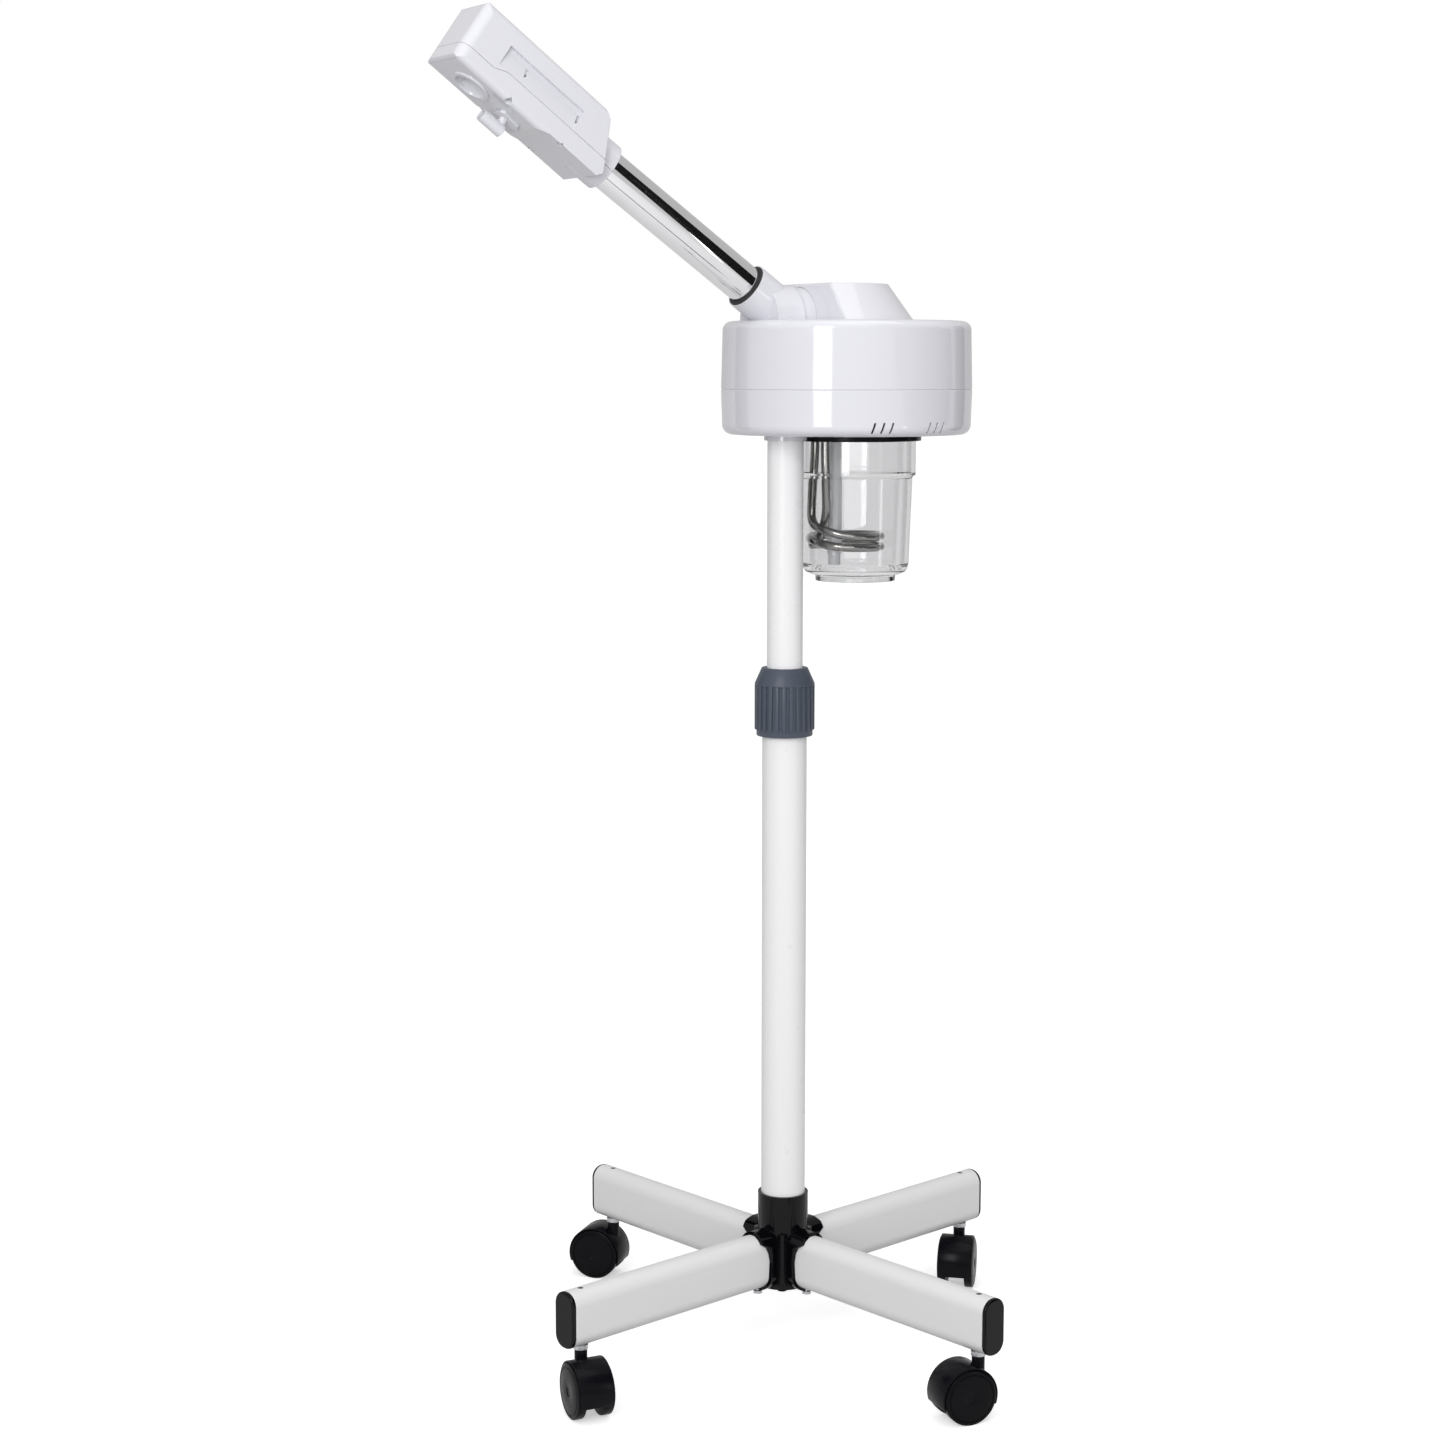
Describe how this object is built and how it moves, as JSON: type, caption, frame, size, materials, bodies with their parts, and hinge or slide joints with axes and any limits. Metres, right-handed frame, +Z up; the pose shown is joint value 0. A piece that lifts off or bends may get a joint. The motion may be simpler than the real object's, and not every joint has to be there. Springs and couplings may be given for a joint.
{
  "type": "facial steamer",
  "caption": "Facial steamer on a rolling four-leg stand: height-adjustable column, swivel boiler housing with glass jar, and a turning steam arm with head.",
  "frame": {"origin": "on the floor under the column's axis", "axes": "+Z up along the column; the steam arm leans out towards -X; Y completes a right-handed frame"},
  "size_m": [0.5886, 0.5356, 1.1796],
  "materials": {
    "hub_black": "glossy",
    "leg_paint": "satin",
    "column_white": "gloss",
    "zinc": "satin",
    "caster_black": "semi-gloss",
    "wheel_black": "semi-gloss",
    "inner_black": "matte",
    "collar_grey": "satin",
    "housing_white": "glossy",
    "ring_black": "satin",
    "seal_rubber": "matte",
    "key_red": "glossy",
    "glass": "clear",
    "heater_steel": "polished",
    "tube_white": "satin",
    "transformer_steel": "satin",
    "board_green": "satin",
    "chrome": "mirror",
    "lamp_glass": "clear"
  },
  "bodies": {
    "stand": {"base_hub": "hub_black", "leg_1": "leg_paint", "leg_2": "leg_paint", "leg_3": "leg_paint", "leg_4": "leg_paint", "leg_caps": "hub_black", "leg_screws": "zinc", "caster_stems": "zinc", "stem_nuts": "zinc", "lower_mast": "column_white", "mast_bolt": "zinc", "mast_bush": "inner_black"},
    "collar": {"clamp_collar": "collar_grey"},
    "pole": {"upper_pole": "column_white", "upper_pole_foot": "inner_black", "upper_pole_plug": "inner_black"},
    "housing": {"lower_shell": "housing_white", "upper_shell": "housing_white", "top_cover": "housing_white", "pole_socket": "zinc", "housing_screws": "zinc", "switch_bezels": "ring_black", "cord_gland": "ring_black", "transformer": "transformer_steel", "control_board": "board_green", "boiler_cap": "heater_steel", "jar_seal": "seal_rubber", "heater": "heater_steel", "heater_nuts": "zinc", "level_tube": "tube_white", "steam_pipe": "seal_rubber", "arm_seal": "seal_rubber"},
    "jar_ring": {"lock_ring": "ring_black"},
    "jar": {"jar": "glass"},
    "arm": {"arm_tube": "chrome", "head_lower": "housing_white", "head_upper": "housing_white", "steam_nozzle": "housing_white", "ozone_lamp": "lamp_glass", "spout": "housing_white", "head_screws": "zinc"},
    "steam_key": {"steam_switch": "key_red"},
    "ozone_key": {"ozone_switch": "key_red"},
    "caster_1": {"caster_hood_1": "caster_black", "caster_axle_1": "zinc"},
    "wheel_1a": {"caster_wheel_1a": "wheel_black"},
    "wheel_1b": {"caster_wheel_1b": "wheel_black"},
    "caster_2": {"caster_hood_2": "caster_black", "caster_axle_2": "zinc"},
    "wheel_2a": {"caster_wheel_2a": "wheel_black"},
    "wheel_2b": {"caster_wheel_2b": "wheel_black"},
    "caster_3": {"caster_hood_3": "caster_black", "caster_axle_3": "zinc"},
    "wheel_3a": {"caster_wheel_3a": "wheel_black"},
    "wheel_3b": {"caster_wheel_3b": "wheel_black"},
    "caster_4": {"caster_hood_4": "caster_black", "caster_axle_4": "zinc"},
    "wheel_4a": {"caster_wheel_4a": "wheel_black"},
    "wheel_4b": {"caster_wheel_4b": "wheel_black"}
  },
  "joints": [
    {"name": "collar_turn", "type": "hinge", "parent": "stand", "child": "collar", "pos_m": [0, 0, 0.595], "axis": [0, 0, 1], "range_deg": [0, 120]},
    {"name": "mast_slide", "type": "slide", "parent": "stand", "child": "pole", "axis": [0, 0, 1], "range_m": [-0.06, 0.2]},
    {"name": "housing_swivel", "type": "hinge", "parent": "pole", "child": "housing", "pos_m": [0, 0, 0.889], "axis": [0, 0, 1], "range_deg": [-170, 170]},
    {"name": "jar_twist", "type": "hinge", "parent": "housing", "child": "jar_ring", "pos_m": [0.076, 0, 0.829], "axis": [0, 0, 1], "range_deg": [0, 60]},
    {"name": "jar_drop", "type": "slide", "parent": "jar_ring", "child": "jar", "axis": [0, 0, -1], "range_m": [0, 0.118]},
    {"name": "arm_turn", "type": "hinge", "parent": "housing", "child": "arm", "pos_m": [0, 0, 0.9333], "axis": [-0.8281, 0, 0.5606], "range_deg": [-90, 90]},
    {"name": "steam_rock", "type": "hinge", "parent": "housing", "child": "steam_key", "pos_m": [0.17, -0.025, 0.8525], "axis": [0, 1, 0], "range_deg": [-6, 6]},
    {"name": "ozone_rock", "type": "hinge", "parent": "housing", "child": "ozone_key", "pos_m": [0.17, 0.025, 0.8525], "axis": [0, 1, 0], "range_deg": [-6, 6]},
    {"name": "caster_swivel_1", "type": "hinge", "parent": "stand", "child": "caster_1", "pos_m": [0.23696, 0.04392, 0.049], "axis": [0, 0, 1], "continuous": true},
    {"name": "wheel_turn_1a", "type": "hinge", "parent": "caster_1", "child": "wheel_1a", "pos_m": [0.22654, 0.03313, 0.024], "axis": [-0.7193, 0.6947, 0], "continuous": true},
    {"name": "wheel_turn_1b", "type": "hinge", "parent": "caster_1", "child": "wheel_1b", "pos_m": [0.22654, 0.03313, 0.024], "axis": [-0.7193, 0.6947, 0], "continuous": true},
    {"name": "caster_swivel_2", "type": "hinge", "parent": "stand", "child": "caster_2", "pos_m": [-0.04392, 0.23696, 0.049], "axis": [0, 0, 1], "continuous": true},
    {"name": "wheel_turn_2a", "type": "hinge", "parent": "caster_2", "child": "wheel_2a", "pos_m": [-0.05336, 0.24862, 0.024], "axis": [0.7771, 0.6293, 0], "continuous": true},
    {"name": "wheel_turn_2b", "type": "hinge", "parent": "caster_2", "child": "wheel_2b", "pos_m": [-0.05336, 0.24862, 0.024], "axis": [0.7771, 0.6293, 0], "continuous": true},
    {"name": "caster_swivel_3", "type": "hinge", "parent": "stand", "child": "caster_3", "pos_m": [-0.23696, -0.04392, 0.049], "axis": [0, 0, 1], "continuous": true},
    {"name": "wheel_turn_3a", "type": "hinge", "parent": "caster_3", "child": "wheel_3a", "pos_m": [-0.23905, -0.05877, 0.024], "axis": [-0.9903, 0.1392, 0], "continuous": true},
    {"name": "wheel_turn_3b", "type": "hinge", "parent": "caster_3", "child": "wheel_3b", "pos_m": [-0.23905, -0.05877, 0.024], "axis": [-0.9903, 0.1392, 0], "continuous": true},
    {"name": "caster_swivel_4", "type": "hinge", "parent": "stand", "child": "caster_4", "pos_m": [0.04392, -0.23696, 0.049], "axis": [0, 0, 1], "continuous": true},
    {"name": "wheel_turn_4a", "type": "hinge", "parent": "caster_4", "child": "wheel_4a", "pos_m": [0.0291, -0.23462, 0.024], "axis": [0.1564, 0.9877, 0], "continuous": true},
    {"name": "wheel_turn_4b", "type": "hinge", "parent": "caster_4", "child": "wheel_4b", "pos_m": [0.0291, -0.23462, 0.024], "axis": [0.1564, 0.9877, 0], "continuous": true}
  ]
}
